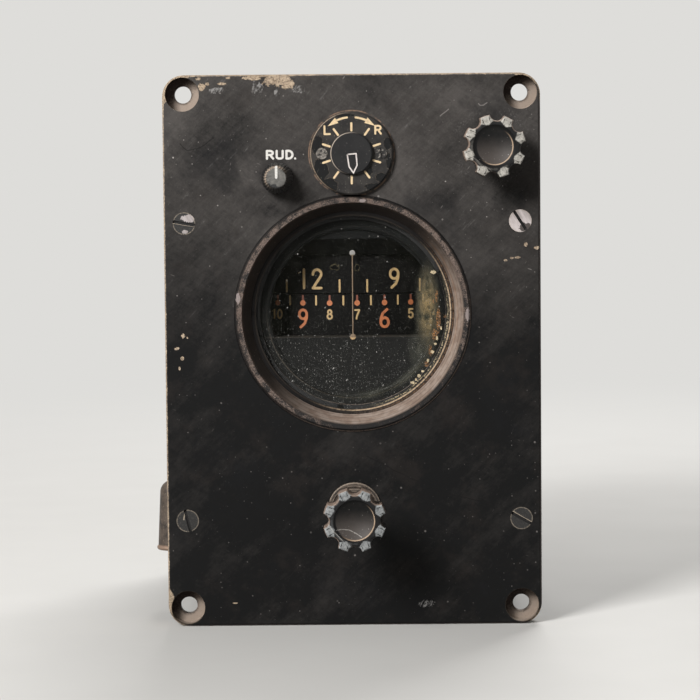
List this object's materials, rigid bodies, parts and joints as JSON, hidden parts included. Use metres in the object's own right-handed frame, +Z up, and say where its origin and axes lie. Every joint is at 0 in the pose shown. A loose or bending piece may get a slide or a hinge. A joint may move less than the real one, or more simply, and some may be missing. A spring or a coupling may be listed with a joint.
{
  "type": "directional gyro",
  "caption": "Panel-mounted air-driven directional gyro: black face plate, round window over two number cards, turn dial, course and caging knobs, case behind.",
  "frame": {"origin": "centre of the four corner holes, on the back face of the face plate", "axes": "-Y out of the face towards the pilot, +X to the right and +Z up as the pilot sees it"},
  "size_m": [0.1472, 0.1943, 0.2054],
  "materials": {
    "black_lacquer": "worn black lacquer on cast alloy",
    "plate_screw_steel": "slotted screw heads, worn black finish",
    "bezel_lacquer": "rubbed black lacquer with a grainy rim",
    "retaining_metal": "worn black ring",
    "glass": "clear, slightly hazed",
    "rubber": "matte black",
    "mask_black": "matte black with specks",
    "cream_paint": "cream radium-style paint",
    "card_black": "matte black card with cream and orange figures",
    "dial_black": "dark grey with cream marks",
    "knob_black": "black moulded knob, lobes worn grey",
    "small_knob_black": "black knurled knob with white line",
    "fitting_metal": "blackened brass with brown patina",
    "case_black": "black crackle enamel",
    "aluminium": "machined alloy",
    "brass": "machined brass",
    "rotor_brass": "turned brass",
    "steel": "machined steel"
  },
  "bodies": {
    "root": {"face_plate": "black_lacquer", "plate_screws": "plate_screw_steel", "bezel_ring": "bezel_lacquer", "bezel_nut": "brass", "glass_retaining_ring": "retaining_metal", "window_glass": "glass", "glass_gasket": "rubber", "dial_mask": "mask_black", "mask_screws": "steel", "lubber_line": "cream_paint", "course_bushing": "fitting_metal", "worm_bracket": "aluminium", "caging_bushing": "fitting_metal", "caging_bracket": "aluminium", "caging_pivot_pin": "steel", "turn_dial": "dial_black", "dial_screws": "dial_black", "pointer_bushing": "brass", "rudder_valve": "brass", "case_gaskets": "rubber", "case_shell": "case_black", "rear_cover": "case_black", "bearing_post": "aluminium", "case_screws": "steel", "azimuth_bearings": "steel", "lower_bearing_cap": "aluminium", "thrust_collar": "steel", "inlet_elbow": "fitting_metal", "inlet_screen": "brass", "vacuum_nipple": "fitting_metal"},
    "follow_up": {"follow_up_card": "card_black", "follow_up_spider": "aluminium", "worm_wheel": "brass"},
    "course": {"course_worm": "steel", "course_shaft": "steel", "course_knob": "knob_black", "course_set_screw": "steel"},
    "azimuth": {"compass_card": "card_black", "card_carrier": "aluminium", "vertical_ring": "aluminium", "azimuth_spindles": "steel", "synchroniser_gear": "brass", "gimbal_pivots": "steel", "air_nozzles": "brass"},
    "gimbal": {"gimbal_ring": "aluminium", "gimbal_bearings": "steel", "balance_nuts": "brass"},
    "rotor": {"rotor": "rotor_brass", "rotor_shaft": "steel"},
    "caging_carriage": {"caging_spool": "brass"},
    "caging": {"caging_knob": "knob_black", "caging_set_screw": "steel", "caging_shaft": "steel", "caging_pinion": "brass"},
    "lever": {"caging_lever": "steel"},
    "pointer": {"pointer_disc": "dial_black", "pointer_spindle": "steel"},
    "rudder": {"rudder_knob": "small_knob_black", "rudder_stem": "steel"}
  },
  "joints": [
    {"name": "card_turn", "type": "hinge", "parent": "root", "child": "follow_up", "pos_m": [0, 0.0725, 0.0754], "axis": [0, 0, 1], "continuous": true},
    {"name": "course_knob_turn", "type": "hinge", "parent": "root", "child": "course", "pos_m": [0.0518, 0.0725, 0.0754], "axis": [0, -1, 0], "continuous": true},
    {"name": "azimuth_turn", "type": "hinge", "parent": "root", "child": "azimuth", "pos_m": [0, 0.0725, -0.0367], "axis": [0, 0, 1], "continuous": true},
    {"name": "gimbal_tilt", "type": "hinge", "parent": "azimuth", "child": "gimbal", "pos_m": [0, 0.0725, -0.0367], "axis": [1, 0, 0], "range_deg": [-55, 55]},
    {"name": "rotor_spin", "type": "hinge", "parent": "gimbal", "child": "rotor", "pos_m": [0, 0.0725, -0.0367], "axis": [0, 1, 0], "continuous": true},
    {"name": "caging_push", "type": "slide", "parent": "root", "child": "caging_carriage", "axis": [0, 1, 0], "range_m": [0, 0.008]},
    {"name": "caging_knob_turn", "type": "hinge", "parent": "caging_carriage", "child": "caging", "pos_m": [0, 0, -0.0587], "axis": [0, -1, 0], "continuous": true},
    {"name": "caging_lever_swing", "type": "hinge", "parent": "root", "child": "lever", "pos_m": [0, 0.0094, -0.0785], "axis": [-1, 0, 0], "range_deg": [0, 23.33]},
    {"name": "pointer_turn", "type": "hinge", "parent": "root", "child": "pointer", "pos_m": [0, 0, 0.0734], "axis": [0, -1, 0], "continuous": true},
    {"name": "rudder_knob_turn", "type": "hinge", "parent": "root", "child": "rudder", "pos_m": [-0.0276, 0, 0.0645], "axis": [0, -1, 0], "range_deg": [-150, 150]}
  ],
  "couplings": [
    {"joint": "course_knob_turn", "follows": "card_turn", "ratio": 72},
    {"joint": "caging_lever_swing", "follows": "caging_push", "rad_per_m": 50.855}
  ]
}
